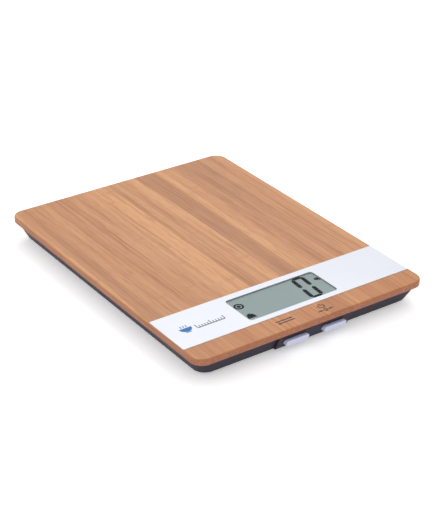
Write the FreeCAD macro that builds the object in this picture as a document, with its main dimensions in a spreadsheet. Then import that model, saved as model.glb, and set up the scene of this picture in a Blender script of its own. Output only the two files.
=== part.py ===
import FreeCAD, Part
import math
import os
import Sketcher

# A flat kitchen scale: a bamboo weighing platform with a display strip let into it, standing on
# a tapered tray that holds the board, the coin cell and four load sensors, one over each foot.
# Millimetres. Origin: the middle of the footprint, on the surface the feet stand on.
# +X is the user's right, +Y points away from the user, +Z is up.

DIMENSIONS = [
    # platform
    ("plate_width", 175.0),
    ("plate_depth", 230.0),
    ("plate_thickness", 4.4),
    ("plate_corner", 8.5),
    ("plate_top_round", 0.9),
    ("plate_under_round", 0.5),
    # display strip, measured from the platform's front edge
    ("panel_front", 16.3),
    ("panel_depth", 37.6),
    ("panel_end_gap", 0.85),
    ("panel_thickness", 0.5),
    ("panel_proud", 0.25),
    ("panel_corner", 0.8),
    ("panel_gap", 0.1),
    ("window_width", 68.0),
    ("window_depth", 28.0),
    ("window_front", 20.7),
    ("window_left", 0.9),
    ("window_corner", 2.5),
    ("pane_thickness", 0.5),
    ("pane_sink", 0.15),
    ("pane_gap", 0.1),
    ("lcd_overlap", 1.5),
    ("lcd_sheet", 1.1),
    ("lcd_ledge", 2.5),
    ("lcd_gap", 0.15),
    ("lcd_frame_wall", 0.9),
    ("lcd_frame_ledge", 3.0),
    ("lcd_frame_below_panel", 0.45),
    ("cutout_gap", 0.3),
    ("strip_thickness", 2.0),
    ("strip_slot_gap", 0.1),
    # tray
    ("foot_stand", 2.6),
    ("tray_height", 10.2),
    ("tray_top_inset", 1.7),
    ("tray_bottom_inset", 6.5),
    ("tray_corner", 8.5),
    ("tray_wall", 2.0),
    ("tray_floor", 2.0),
    ("boss_width", 56.0),
    ("boss_reach", 1.7),
    ("boss_corner", 0.5),
    ("rib_width", 1.2),
    ("rib_height", 2.4),
    ("rib_length", 110.0),
    ("rib_spacing", 64.0),
    # buttons and switches
    ("button_width", 17.0),
    ("button_height", 4.1),
    ("button_corner", 1.4),
    ("button_spacing", 29.0),
    ("button_lift", 2.7),
    ("button_reach", 1.0),
    ("button_lean", 13.0),
    ("button_edge_round", 0.45),
    ("button_gap", 0.2),
    ("button_travel", 0.5),
    ("flange_thickness", 1.2),
    ("flange_border", 1.3),
    ("flange_rise", 0.6),
    ("flange_gap", 0.2),
    ("nub_width", 4.0),
    ("nub_height", 3.0),
    ("nub_length", 1.0),
    ("nub_gap", 0.05),
    ("plunger_radius", 1.0),
    ("plunger_gap", 0.05),
    ("plunger_out", 1.5),
    ("plunger_inside", 1.7),
    ("switch_width", 6.0),
    ("switch_depth", 3.5),
    ("switch_height", 3.5),
    # circuit board
    ("board_width", 92.0),
    ("board_depth", 44.0),
    ("board_thickness", 1.2),
    ("board_corner", 1.5),
    ("board_lead_in", 0.5),
    ("board_post_radius", 3.0),
    ("board_post_spacing", 22.0),
    ("ear_reach", 8.0),
    ("ear_depth", 8.0),
    ("ear_thickness", 1.0),
    ("chip_radius", 6.0),
    ("chip_height", 1.4),
    ("chip_round", 1.1),
    # battery bay
    ("bay_y", 10.0),
    ("bay_width", 24.0),
    ("bay_depth", 30.0),
    ("bay_wall", 3.0),
    ("bay_roof", 1.2),
    ("bay_clear_height", 6.4),
    ("door_rim", 1.5),
    ("door_gap", 0.2),
    ("door_thickness", 1.5),
    ("door_corner", 1.5),
    ("hook_width", 5.0),
    ("hook_spacing", 14.0),
    ("hook_rise", 1.5),
    ("hook_plate", 1.0),
    ("hook_reach", 0.7),
    ("hook_root", 1.0),
    ("hook_slot", 1.1),
    ("latch_nib", 0.15),
    ("latch_width", 8.0),
    ("latch_slot", 1.0),
    ("latch_length", 7.0),
    ("scoop_depth", 1.2),
    ("scoop_length", 3.5),
    ("grip_groove", 0.3),
    ("cell_radius", 10.0),
    ("cell_can", 2.9),
    ("cell_cap", 0.3),
    ("cell_cap_radius", 8.8),
    ("cell_gap", 0.1),
    ("spring_thickness", 0.3),
    ("spring_width", 5.0),
    ("spring_gap", 0.05),
    ("contact_half", 2.0),
    # feet and load sensors
    ("foot_inset", 25.0),
    ("foot_radius", 8.5),
    ("foot_plate", 1.2),
    ("neck_radius", 6.5),
    ("neck_gap", 0.5),
    ("neck_above_floor", 0.4),
    ("stub_radius", 2.5),
    ("pin_radius", 1.2),
    ("pin_gap", 0.05),
    ("rivet_radius", 2.0),
    ("rivet_height", 0.6),
    ("pad_radius", 7.5),
    ("pad_thickness", 1.0),
    ("pad_round", 0.3),
    ("sensor_size", 28.0),
    ("sensor_thickness", 1.2),
    ("sensor_corner", 2.0),
    ("sensor_lift", 3.6),
    ("sensor_gap", 0.2),
    ("tongue_room", 20.0),
    ("tongue_width", 8.0),
    ("tongue_length", 16.0),
    ("seat_wall", 1.6),
    ("seat_lip", 0.4),
    ("gauge_width", 5.0),
    ("gauge_depth", 4.0),
    ("gauge_thickness", 0.3),
    ("gauge_offset", 6.0),
    # screws and leads
    ("screw_shank", 1.25),
    ("screw_head", 2.3),
    ("screw_head_height", 1.6),
    ("screw_sink", 4.0),
    ("screw_bite", 2.8),
    ("screw_gap", 0.2),
    ("post_radius", 3.6),
    ("thread_gap", 0.02),
    ("side_post_inset", 17.5),
    ("front_post_gap", 8.6),
    ("rear_side_post_inset", 65.0),
    ("rear_post_inset", 13.0),
    ("small_shank", 0.9),
    ("small_head", 1.8),
    ("small_head_height", 0.9),
    ("small_bite", 3.0),
    ("cross_reach", 1.2),
    ("cross_width", 0.3),
    ("rim_screw", 12.0),
    ("lead_radius", 0.6),
    ("lead_lift", 0.1),
    ("lead_lane", 18.0),
    ("lead_bend", 4.0),
    ("rear_landing", 9.5),
    ("front_landing", 3.5),
]

doc = FreeCAD.newDocument("kitchen_scale")
sheet = doc.addObject("Spreadsheet::Sheet", "Dims")
for row, (alias, number) in enumerate(DIMENSIONS, start=1):
    sheet.set("A%d" % row, alias)
    sheet.set("B%d" % row, str(number))
    sheet.setAlias("B%d" % row, alias)
doc.recompute()

# Places worked out from the driving dimensions, as expression text.
FRONT = "(-Dims.plate_depth / 2)"
TRAY_BOTTOM = "Dims.foot_stand"
FLOOR_TOP = "(Dims.foot_stand + Dims.tray_floor)"
TRAY_TOP = "(Dims.foot_stand + Dims.tray_height)"
PLATE_TOP = f"({TRAY_TOP} + Dims.plate_thickness)"
PANEL_TOP = f"({PLATE_TOP} + Dims.panel_proud)"
PANEL_BOTTOM = f"({PANEL_TOP} - Dims.panel_thickness)"
PANEL_Y = f"({FRONT} + Dims.panel_front + Dims.panel_depth / 2)"
PANEL_WIDTH = "(Dims.plate_width - 2 * Dims.panel_end_gap)"
WINDOW_Y = f"({FRONT} + Dims.window_front + Dims.window_depth / 2)"
PANE_BOTTOM = f"({PANEL_TOP} - Dims.pane_sink - Dims.pane_thickness)"
LCD_WIDTH = "(Dims.window_width + 2 * Dims.lcd_overlap)"
LCD_DEPTH = "(Dims.window_depth + 2 * Dims.lcd_overlap)"
LCD_BOTTOM = f"({PANE_BOTTOM} - 2 * Dims.lcd_sheet)"
WINDOW_X = "(-Dims.window_left)"
LCD_FRAME_WIDTH = f"({LCD_WIDTH} + 2 * (Dims.lcd_gap + Dims.lcd_frame_wall))"
LCD_FRAME_DEPTH = f"({LCD_DEPTH} + 2 * (Dims.lcd_gap + Dims.lcd_frame_wall))"
BUTTON_Z = f"({TRAY_BOTTOM} + Dims.button_lift + Dims.button_height / 2)"
BOARD_BOTTOM = f"({BUTTON_Z} + Dims.switch_height / 2)"
BOARD_TOP = f"({BOARD_BOTTOM} + Dims.board_thickness)"
TAPER = "((Dims.tray_bottom_inset - Dims.tray_top_inset) / Dims.tray_height)"
FLANGE_HALF = "(Dims.button_height / 2 + Dims.flange_rise)"
FLANGE_FOOT = f"({BUTTON_Z} - {FLANGE_HALF} - {TRAY_BOTTOM})"
FLANGE_FRONT = (
    f"({FRONT} + Dims.tray_bottom_inset - {TAPER} * {FLANGE_FOOT}"
    " + Dims.tray_wall + Dims.flange_gap)"
)
FLANGE_BACK = f"({FLANGE_FRONT} + Dims.flange_thickness)"
PLUNGER_FRONT = f"({FLANGE_BACK} + Dims.nub_length + Dims.nub_gap)"
SWITCH_FRONT = f"({PLUNGER_FRONT} + Dims.plunger_out)"
BOARD_FRONT = f"({SWITCH_FRONT} - Dims.board_lead_in)"
BOARD_Y = f"({BOARD_FRONT} + Dims.board_depth / 2)"
BOARD_BACK = f"({BOARD_FRONT} + Dims.board_depth)"
EAR_X = f"({LCD_FRAME_WIDTH} / 2 + Dims.ear_reach / 2)"
SENSOR_BOTTOM = f"({TRAY_BOTTOM} + Dims.sensor_lift)"
SENSOR_TOP = f"({SENSOR_BOTTOM} + Dims.sensor_thickness)"
SEAT_SIZE = "(Dims.sensor_size + 2 * (Dims.sensor_gap + Dims.seat_wall))"
FOOT_X = "(Dims.plate_width / 2 - Dims.foot_inset)"
FOOT_Y = "(Dims.plate_depth / 2 - Dims.foot_inset)"
BAY_CEILING = f"({TRAY_BOTTOM} + Dims.bay_clear_height)"
DOOR_TOP = f"({TRAY_BOTTOM} + Dims.door_thickness)"
DOOR_WIDTH = "(Dims.bay_width + 2 * Dims.door_rim)"
DOOR_DEPTH = "(Dims.bay_depth + 2 * Dims.door_rim)"
CELL_BOTTOM = f"({DOOR_TOP} + Dims.cell_gap)"
CELL_TOP = f"({CELL_BOTTOM} + Dims.cell_can + Dims.cell_cap)"
LEAD_Z = f"({SENSOR_TOP} + Dims.seat_lip + Dims.lead_lift + Dims.lead_radius)"
CORNERS = [
    ("front_left", -1, -1),
    ("front_right", 1, -1),
    ("rear_left", -1, 1),
    ("rear_right", 1, 1),
]
SIDES = [("left", -1), ("right", 1)]
HALF_POSTS = "Dims.board_post_spacing / 2"
BOARD_SCREWS = [
    (f"{side}_{end}", f"({WINDOW_X} + {sign} * {EAR_X})", f"({WINDOW_Y} + {step} * {HALF_POSTS})")
    for side, sign in SIDES
    for end, step in (("front", -1), ("rear", 1))
]
SIDE_POST_X = "(Dims.plate_width / 2 - Dims.side_post_inset)"
FRONT_POST_Y = f"({BOARD_BACK} + Dims.front_post_gap)"
REAR_SIDE_POST_Y = "(Dims.plate_depth / 2 - Dims.rear_side_post_inset)"
PLATFORM_SCREWS = [
    (f"-{SIDE_POST_X}", FRONT_POST_Y),
    (SIDE_POST_X, FRONT_POST_Y),
    (f"-{SIDE_POST_X}", REAR_SIDE_POST_Y),
    (SIDE_POST_X, REAR_SIDE_POST_Y),
    ("0", "(Dims.plate_depth / 2 - Dims.rear_post_inset)"),
    ("0", FRONT_POST_Y),
]
nodes = []


def value_of(text):
    """The number that an expression gives."""
    answer = sheet.evalExpression(text)
    return float(getattr(answer, "Value", answer))


def place(thing, x="0", y="0", z="0"):
    """Bind an object's position to three expressions."""
    for letter, text in zip("xyz", (x, y, z)):
        thing.setExpression("Placement.Base." + letter, text)
    return thing


def keep(thing, label):
    """Give a finished sub-part its own label and list it for export."""
    thing.Label = label
    nodes.append(thing)
    return thing


def box(name, width, depth, height, x="0", y="0", z="0"):
    """A block centred on x and y, standing on z."""
    block = doc.addObject("Part::Box", name)
    block.setExpression("Length", width)
    block.setExpression("Width", depth)
    block.setExpression("Height", height)
    return place(block, f"({x}) - ({width}) / 2", f"({y}) - ({depth}) / 2", z)


def cylinder(name, radius, height, x="0", y="0", z="0"):
    """An upright cylinder standing on z."""
    post = doc.addObject("Part::Cylinder", name)
    post.setExpression("Radius", radius)
    post.setExpression("Height", height)
    return place(post, x, y, z)


def fuse(name, pieces):
    whole = doc.addObject("Part::MultiFuse", name)
    whole.Shapes = pieces
    whole.Refine = True
    return whole


def cut(name, base, tools):
    result = doc.addObject("Part::Cut", name)
    result.Base = base
    result.Tool = tools[0] if len(tools) == 1 else fuse(name + "_tools", tools)
    return result


def round_edges(name, base, radius, chosen):
    """Fillet the edges of base that chosen(edge) picks out."""
    doc.recompute()
    result = doc.addObject("Part::Fillet", name)
    result.Base = base
    picked = [n for n, edge in enumerate(base.Shape.Edges, start=1) if chosen(edge)]
    result.Edges = [(n, value_of(radius), value_of(radius)) for n in picked]
    return result


def level_edge(height):
    """A test for edges that lie flat at the given height."""
    level = value_of(height)

    def lies_level(edge):
        return abs(edge.BoundBox.ZMin - level) < 1e-3 and abs(edge.BoundBox.ZMax - level) < 1e-3

    return lies_level


def rounded_sketch(body, name, width, depth, corner, y="0", z="0"):
    """A rectangle with round corners, centred on the body's Z axis and set at y and z."""
    sketch = body.newObject("Sketcher::SketchObject", name)
    plane = [p for p in body.Origin.OriginFeatures if p.Role == "XY_Plane"][0]
    sketch.AttachmentSupport = [(plane, "")]
    sketch.MapMode = "FlatFace"
    sketch.setExpression("AttachmentOffset.Base.y", y)
    sketch.setExpression("AttachmentOffset.Base.z", z)
    right = value_of(width) / 2
    top = value_of(depth) / 2
    r = value_of(corner)
    points = [
        ((-right + r, -top), (right - r, -top)),
        ((right, -top + r), (right, top - r)),
        ((right - r, top), (-right + r, top)),
        ((-right, top - r), (-right, -top + r)),
    ]
    middles = [(right - r, -top + r), (right - r, top - r), (-right + r, top - r), (-right + r, -top + r)]
    for start, end in points:
        line = Part.LineSegment(FreeCAD.Vector(*start, 0), FreeCAD.Vector(*end, 0))
        sketch.addGeometry(line, False)
    quarter = math.pi / 2
    for turn, middle in enumerate(middles):
        circle = Part.Circle(FreeCAD.Vector(*middle, 0), FreeCAD.Vector(0, 0, 1), r)
        arc = Part.ArcOfCircle(circle, (turn - 1) * quarter, turn * quarter)
        sketch.addGeometry(arc, False)
    for side in range(4):
        sketch.addConstraint(Sketcher.Constraint("Tangent", side, 2, side + 4, 1))
        sketch.addConstraint(Sketcher.Constraint("Tangent", side + 4, 2, (side + 1) % 4, 1))
    sketch.addConstraint(Sketcher.Constraint("Horizontal", 2))
    sketch.addConstraint(Sketcher.Constraint("Vertical", 3))
    for arc in (5, 6, 7):
        sketch.addConstraint(Sketcher.Constraint("Equal", 4, arc))
    sketch.addConstraint(Sketcher.Constraint("Symmetric", 0, 1, 0, 2, -2))
    sketch.addConstraint(Sketcher.Constraint("Symmetric", 1, 1, 1, 2, -1))
    sizes = [("Radius", (4,), r, corner)]
    sizes.append(("DistanceX", (3, 1, 1, 1), 2 * right, width))
    sizes.append(("DistanceY", (0, 1, 2, 1), 2 * top, depth))
    for kind, where, number, text in sizes:
        index = sketch.addConstraint(Sketcher.Constraint(kind, *where, number))
        sketch.renameConstraint(index, kind)
        sketch.setExpression("Constraints." + kind, text)
    return sketch


def rounded_block(name, width, depth, height, corner, x="0", y="0", z="0"):
    """A plate with round corners, centred on x and y, standing on z."""
    body = doc.addObject("PartDesign::Body", name)
    sketch = rounded_sketch(body, name + "_outline", width, depth, corner)
    pad = body.newObject("PartDesign::Pad", name + "_pad")
    pad.Profile = sketch
    pad.setExpression("Length", height)
    return place(body, x, y, z)


def tapered_block(name, lower, upper, z):
    """A block between two round-cornered outlines (width, depth, corner, y, height)."""
    body = doc.addObject("PartDesign::Body", name)
    low = rounded_sketch(body, name + "_low", *lower)
    high = rounded_sketch(body, name + "_high", *upper)
    loft = body.newObject("PartDesign::AdditiveLoft", name + "_loft")
    loft.Profile = low
    loft.Sections = [high]
    loft.Ruled = True
    return place(body, "0", "0", z)


def face_forward(thing):
    """Turn an object so that its own Z points at the user and its own Y points up."""
    thing.Placement = FreeCAD.Placement(
        thing.Placement.Base, FreeCAD.Rotation(FreeCAD.Vector(1, 0, 0), 90)
    )
    return thing


def weighing_platform():
    plate = rounded_block(
        "platform_blank",
        "Dims.plate_width",
        "Dims.plate_depth",
        "Dims.plate_thickness",
        "Dims.plate_corner",
        z=TRAY_TOP,
    )
    plate = round_edges("platform_under_round", plate, "Dims.plate_under_round", level_edge(TRAY_TOP))
    plate = round_edges("platform_top_round", plate, "Dims.plate_top_round", level_edge(PLATE_TOP))
    recess = rounded_block(
        "panel_recess",
        f"{PANEL_WIDTH} + 2 * Dims.panel_gap",
        "Dims.panel_depth + 2 * Dims.panel_gap",
        "Dims.panel_thickness + Dims.panel_proud",
        "Dims.panel_corner + Dims.panel_gap",
        y=PANEL_Y,
        z=PANEL_BOTTOM,
    )
    opening = box(
        "display_cutout",
        f"{LCD_FRAME_WIDTH} + 2 * Dims.cutout_gap",
        f"{LCD_FRAME_DEPTH} + 2 * Dims.cutout_gap",
        "2 * Dims.plate_thickness",
        x=WINDOW_X,
        y=WINDOW_Y,
        z=f"{TRAY_TOP} - Dims.plate_thickness / 2",
    )
    pilots = [
        cylinder(
            "platform_pilot_%d" % number,
            "Dims.screw_shank + Dims.thread_gap",
            "Dims.screw_bite + 2 * Dims.screw_gap",
            x,
            y,
            f"{TRAY_TOP} - Dims.screw_gap",
        )
        for number, (x, y) in enumerate(PLATFORM_SCREWS, start=1)
    ]
    keep(cut("platform", plate, [recess, opening] + pilots), "weighing_platform")


def display_panel():
    sheet_metal = rounded_block(
        "panel_blank",
        PANEL_WIDTH,
        "Dims.panel_depth",
        "Dims.panel_thickness",
        "Dims.panel_corner",
        y=PANEL_Y,
        z=PANEL_BOTTOM,
    )
    window = rounded_block(
        "panel_window",
        "Dims.window_width",
        "Dims.window_depth",
        "3 * Dims.panel_thickness",
        "Dims.window_corner",
        x=WINDOW_X,
        y=WINDOW_Y,
        z=f"{PANEL_BOTTOM} - Dims.panel_thickness",
    )
    keep(cut("panel", sheet_metal, [window]), "display_panel")
    pane = rounded_block(
        "pane",
        "Dims.window_width - 2 * Dims.pane_gap",
        "Dims.window_depth - 2 * Dims.pane_gap",
        "Dims.pane_thickness",
        "Dims.window_corner - Dims.pane_gap",
        x=WINDOW_X,
        y=WINDOW_Y,
        z=PANE_BOTTOM,
    )
    keep(pane, "display_pane")


def lcd_module():
    upper = box("lcd_upper", LCD_WIDTH, LCD_DEPTH, "Dims.lcd_sheet", WINDOW_X, WINDOW_Y,
                f"{PANE_BOTTOM} - Dims.lcd_sheet")
    lower = box("lcd_lower", LCD_WIDTH, f"{LCD_DEPTH} - Dims.lcd_ledge", "Dims.lcd_sheet",
                WINDOW_X, f"{WINDOW_Y} - Dims.lcd_ledge / 2", LCD_BOTTOM)
    keep(fuse("lcd", [upper, lower]), "lcd_glass")

    ring_height = f"{PANEL_BOTTOM} - Dims.lcd_frame_below_panel - {BOARD_TOP}"
    ring = box(
        "lcd_frame_ring", LCD_FRAME_WIDTH, LCD_FRAME_DEPTH, ring_height, WINDOW_X, WINDOW_Y, BOARD_TOP
    )
    # Each ear reaches into the ring's wall, so the two make one solid.
    ears = [
        box(
            f"lcd_frame_ear_{name}",
            "Dims.ear_reach + 2 * Dims.lcd_frame_wall",
            "Dims.ear_depth",
            "Dims.ear_thickness",
            x,
            y,
            BOARD_TOP,
        )
        for name, x, y in BOARD_SCREWS
    ]
    pocket = box(
        "lcd_frame_pocket",
        f"{LCD_WIDTH} + 2 * Dims.lcd_gap",
        f"{LCD_DEPTH} + 2 * Dims.lcd_gap",
        "Dims.plate_thickness",
        x=WINDOW_X,
        y=WINDOW_Y,
        z=LCD_BOTTOM,
    )
    middle = box(
        "lcd_frame_opening",
        f"{LCD_WIDTH} - 2 * Dims.lcd_frame_ledge",
        f"{LCD_DEPTH} - 4 * Dims.lcd_frame_ledge",
        "2 * Dims.tray_height",
        x=WINDOW_X,
        y=WINDOW_Y,
        z=TRAY_BOTTOM,
    )
    strip_y = f"{WINDOW_Y} + {LCD_DEPTH} / 2 - Dims.strip_thickness / 2"
    slot = box(
        "strip_slot",
        f"{LCD_WIDTH} - 2 * Dims.lcd_frame_ledge + 2 * Dims.strip_slot_gap",
        "Dims.strip_thickness + 2 * Dims.strip_slot_gap",
        "2 * Dims.tray_height",
        x=WINDOW_X,
        y=strip_y,
        z=TRAY_BOTTOM,
    )
    holes = [
        cylinder(
            f"ear_hole_{name}",
            "Dims.small_shank + Dims.screw_gap",
            "2 * Dims.tray_height",
            x,
            y,
            TRAY_BOTTOM,
        )
        for name, x, y in BOARD_SCREWS
    ]
    frame = fuse("lcd_frame_blank", [ring] + ears)
    keep(cut("lcd_frame_cut", frame, [pocket, middle, slot] + holes), "lcd_frame")
    strip = box(
        "strip",
        f"{LCD_WIDTH} - 2 * Dims.lcd_frame_ledge",
        "Dims.strip_thickness",
        f"{PANE_BOTTOM} - Dims.lcd_sheet - {BOARD_TOP}",
        x=WINDOW_X,
        y=strip_y,
        z=BOARD_TOP,
    )
    keep(strip, "contact_strip")


def circuit_board():
    blank = rounded_block(
        "board_blank",
        "Dims.board_width",
        "Dims.board_depth",
        "Dims.board_thickness",
        "Dims.board_corner",
        y=BOARD_Y,
        z=BOARD_BOTTOM,
    )
    holes = [
        cylinder(
            f"board_hole_{name}",
            "Dims.small_shank + Dims.screw_gap",
            "3 * Dims.board_thickness",
            x,
            y,
            f"{BOARD_BOTTOM} - Dims.board_thickness",
        )
        for name, x, y in BOARD_SCREWS
    ]
    keep(cut("board", blank, holes), "circuit_board")
    blob = cylinder(
        "chip_blob",
        "Dims.chip_radius",
        "Dims.chip_height",
        "0",
        BOARD_Y,
        f"{BOARD_BOTTOM} - Dims.chip_height",
    )
    chip = round_edges(
        "chip_round", blob, "Dims.chip_round", level_edge(f"{BOARD_BOTTOM} - Dims.chip_height")
    )
    keep(chip, "chip_cover")


def switch_and_button(side, sign):
    x = f"{sign} * Dims.button_spacing / 2"
    switch = box(
        f"{side}_switch_block",
        "Dims.switch_width",
        "Dims.switch_depth",
        "Dims.switch_height",
        x,
        f"{SWITCH_FRONT} + Dims.switch_depth / 2",
        f"{BOARD_BOTTOM} - Dims.switch_height",
    )
    bore = cylinder(
        f"{side}_switch_bore",
        "Dims.plunger_radius + Dims.plunger_gap",
        "Dims.plunger_inside + 2 * Dims.button_travel",
        x,
        f"{SWITCH_FRONT} + Dims.plunger_inside + Dims.button_travel",
        BUTTON_Z,
    )
    keep(cut(f"{side}_switch_body", switch, [face_forward(bore)]), f"{side}_switch")
    plunger = cylinder(
        f"{side}_plunger",
        "Dims.plunger_radius",
        "Dims.plunger_inside + Dims.plunger_out",
        x,
        f"{SWITCH_FRONT} + Dims.plunger_inside",
        BUTTON_Z,
    )
    keep(face_forward(plunger), f"{side}_switch_plunger")

    # The button lies along its own Z: the nub at the back, then the flange, then the cap.
    nub = box(f"{side}_button_nub", "Dims.nub_width", "Dims.nub_height", "2 * Dims.nub_length",
              z="-Dims.nub_length")
    flange = rounded_block(
        f"{side}_button_flange",
        "Dims.button_width + 2 * Dims.flange_border",
        f"2 * {FLANGE_HALF}",
        "Dims.flange_thickness",
        "Dims.button_corner",
    )
    cap_length = f"({FLANGE_BACK} - {FRONT} + Dims.button_reach)"
    cap = rounded_block(
        f"{side}_button_cap", "Dims.button_width", "Dims.button_height", cap_length, "Dims.button_corner"
    )
    slope = box(
        f"{side}_button_slope",
        "2 * Dims.button_width",
        "4 * Dims.button_height",
        "2 * Dims.button_height",
    )
    lean = FreeCAD.Rotation(FreeCAD.Vector(1, 0, 0), -value_of("Dims.button_lean"))
    slope.Placement = FreeCAD.Placement(slope.Placement.Base, lean)
    slope.setExpression("Placement.Rotation.Angle", "Dims.button_lean")
    place(
        slope,
        "-Dims.button_width",
        "Dims.button_height / 2 - 4 * Dims.button_height * cos(Dims.button_lean * 1deg)",
        f"{cap_length} - 4 * Dims.button_height * sin(Dims.button_lean * 1deg)",
    )
    whole = cut(f"{side}_button_blank", fuse(f"{side}_button_stack", [nub, flange, cap]), [slope])
    shy = value_of(f"{cap_length} - 1.5 * Dims.button_height * sin(Dims.button_lean * 1deg)")

    def on_front(edge):
        return edge.BoundBox.ZMin > shy

    button = round_edges(f"{side}_button_round", whole, "Dims.button_edge_round", on_front)
    place(button, x, FLANGE_BACK, BUTTON_Z)
    keep(face_forward(button), f"{side}_button")


def tray_outline(inset, corner, z):
    """One round-cornered outline of the tray, at an inset from the platform's edge."""
    width = f"Dims.plate_width - 2 * ({inset})"
    depth = f"Dims.plate_depth - 2 * ({inset})"
    return (width, depth, corner, "0", z)


def tray_shell():
    inset_at_floor = f"Dims.tray_bottom_inset - {TAPER} * Dims.tray_floor"
    outer = tapered_block(
        "tray_outer",
        tray_outline("Dims.tray_bottom_inset", "Dims.tray_corner", "0"),
        tray_outline("Dims.tray_top_inset", "Dims.tray_corner", "Dims.tray_height"),
        TRAY_BOTTOM,
    )
    corner = "Dims.tray_corner - Dims.tray_wall"
    inner = tapered_block(
        "tray_inner",
        tray_outline(f"{inset_at_floor} + Dims.tray_wall", corner, "Dims.tray_floor"),
        tray_outline("Dims.tray_top_inset + Dims.tray_wall", corner, "Dims.tray_height"),
        TRAY_BOTTOM,
    )
    return cut("tray_shell", outer, [inner])


def button_boss():
    """The thick stretch of the tray's front wall that the buttons come out of."""
    depth = "Dims.boss_reach + Dims.tray_wall / 2"
    outlines = []
    for inset, z in (("Dims.tray_bottom_inset", "0"), ("Dims.tray_top_inset", "Dims.tray_height")):
        y = f"{FRONT} + {inset} - Dims.boss_reach + ({depth}) / 2"
        outlines.append(("Dims.boss_width", depth, "Dims.boss_corner", y, z))
    return tapered_block("boss", outlines[0], outlines[1], TRAY_BOTTOM)


def tray_additions():
    bay = box(
        "bay_block",
        "Dims.bay_width + 2 * Dims.bay_wall",
        "Dims.bay_depth + 2 * Dims.bay_wall",
        "Dims.bay_clear_height + Dims.bay_roof",
        y="Dims.bay_y",
        z=TRAY_BOTTOM,
    )
    pieces = [button_boss(), bay]
    for name, right, back in CORNERS:
        x = f"({right}) * {FOOT_X}"
        y = f"({back}) * {FOOT_Y}"
        height = "Dims.sensor_lift + Dims.sensor_thickness + Dims.seat_lip"
        pieces.append(box(f"{name}_seat", SEAT_SIZE, SEAT_SIZE, height, x, y, TRAY_BOTTOM))
    for number, (x, y) in enumerate(PLATFORM_SCREWS, start=1):
        pieces.append(cylinder(f"post_{number}", "Dims.post_radius", "Dims.tray_height", x, y, TRAY_BOTTOM))
    for name, x, y in BOARD_SCREWS:
        height = f"{BOARD_BOTTOM} - {TRAY_BOTTOM}"
        pieces.append(cylinder(f"board_post_{name}", "Dims.board_post_radius", height, x, y, TRAY_BOTTOM))
    for side, sign in SIDES:
        height = "Dims.tray_floor + Dims.rib_height"
        x = f"{sign} * Dims.rib_spacing / 2"
        rib = box(f"rib_{side}", "Dims.rib_width", "Dims.rib_length", height, x, "Dims.bay_y", TRAY_BOTTOM)
        pieces.append(rib)
    return pieces


def tray_cuts():
    cuts = []
    below = f"{TRAY_BOTTOM} - Dims.tray_floor"
    for side, sign in SIDES:
        slot = rounded_block(
            f"button_slot_{side}",
            "Dims.button_width + 2 * Dims.button_gap",
            "Dims.button_height + 2 * Dims.button_gap",
            "Dims.tray_bottom_inset + 4 * Dims.tray_wall",
            "Dims.button_corner + Dims.button_gap",
            f"{sign} * Dims.button_spacing / 2",
            FLANGE_FRONT,
            BUTTON_Z,
        )
        cuts.append(face_forward(slot))
    for name, x, y in BOARD_SCREWS:
        depth = "Dims.small_bite + Dims.screw_gap"
        hole = cylinder(
            f"board_pilot_{name}",
            "Dims.small_shank + Dims.thread_gap",
            depth,
            x,
            y,
            f"{BOARD_BOTTOM} - ({depth})",
        )
        cuts.append(hole)
    for name, right, back in CORNERS:
        x = f"({right}) * {FOOT_X}"
        y = f"({back}) * {FOOT_Y}"
        pocket = "Dims.sensor_size + 2 * Dims.sensor_gap"
        room = "Dims.tongue_room + 2 * Dims.sensor_gap"
        cuts.append(box(f"{name}_sensor_pocket", pocket, pocket, "Dims.tray_height", x, y, SENSOR_BOTTOM))
        cuts.append(box(f"{name}_tongue_room", room, room, "Dims.tray_height", x, y, FLOOR_TOP))
        hole = "Dims.neck_radius + Dims.neck_gap"
        cuts.append(cylinder(f"{name}_neck_hole", hole, "3 * Dims.tray_floor", x, y, below))
        for end in (-1, 1):
            pilot = cylinder(
                f"{name}_rim_pilot_{end}",
                "Dims.small_shank + Dims.thread_gap",
                "Dims.small_bite",
                f"{x} + ({end}) * Dims.rim_screw",
                f"{y} - ({end}) * Dims.rim_screw",
                f"{SENSOR_TOP} - Dims.small_bite - Dims.screw_gap",
            )
            cuts.append(pilot)
    for number, (x, y) in enumerate(PLATFORM_SCREWS, start=1):
        shank = "Dims.screw_shank + Dims.screw_gap"
        head = "Dims.screw_head + Dims.screw_gap"
        cuts.append(cylinder(f"post_bore_{number}", shank, "2 * Dims.tray_height", x, y, TRAY_BOTTOM))
        cuts.append(cylinder(f"post_sink_{number}", head, "Dims.screw_sink + Dims.tray_floor", x, y, below))
    return cuts + bay_cuts()


def bay_cuts():
    below = f"{TRAY_BOTTOM} - Dims.tray_floor"
    cavity = box(
        "bay_cavity",
        "Dims.bay_width",
        "Dims.bay_depth",
        "Dims.bay_clear_height + Dims.tray_floor",
        y="Dims.bay_y",
        z=below,
    )
    recess = rounded_block(
        "door_recess",
        f"{DOOR_WIDTH} + 2 * Dims.door_gap",
        f"{DOOR_DEPTH} + 2 * Dims.door_gap",
        "Dims.door_thickness + Dims.door_gap + Dims.tray_floor",
        "Dims.door_corner",
        y="Dims.bay_y",
        z=below,
    )
    scoop = box(
        "nail_scoop",
        "Dims.latch_width",
        "2 * Dims.scoop_length",
        "Dims.scoop_depth + Dims.tray_floor",
        y=f"Dims.bay_y + {DOOR_DEPTH} / 2",
        z=below,
    )
    cuts = [cavity, recess, scoop]
    for side, sign in SIDES:
        slot = box(
            f"hook_slot_{side}",
            "Dims.hook_width + 2 * Dims.door_gap",
            "Dims.bay_wall",
            "Dims.hook_rise + Dims.hook_plate + Dims.door_gap",
            f"{sign} * Dims.hook_spacing / 2",
            f"Dims.bay_y - {DOOR_DEPTH} / 2 - Dims.hook_slot + Dims.bay_wall / 2",
            DOOR_TOP,
        )
        cuts.append(slot)
    return cuts


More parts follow.
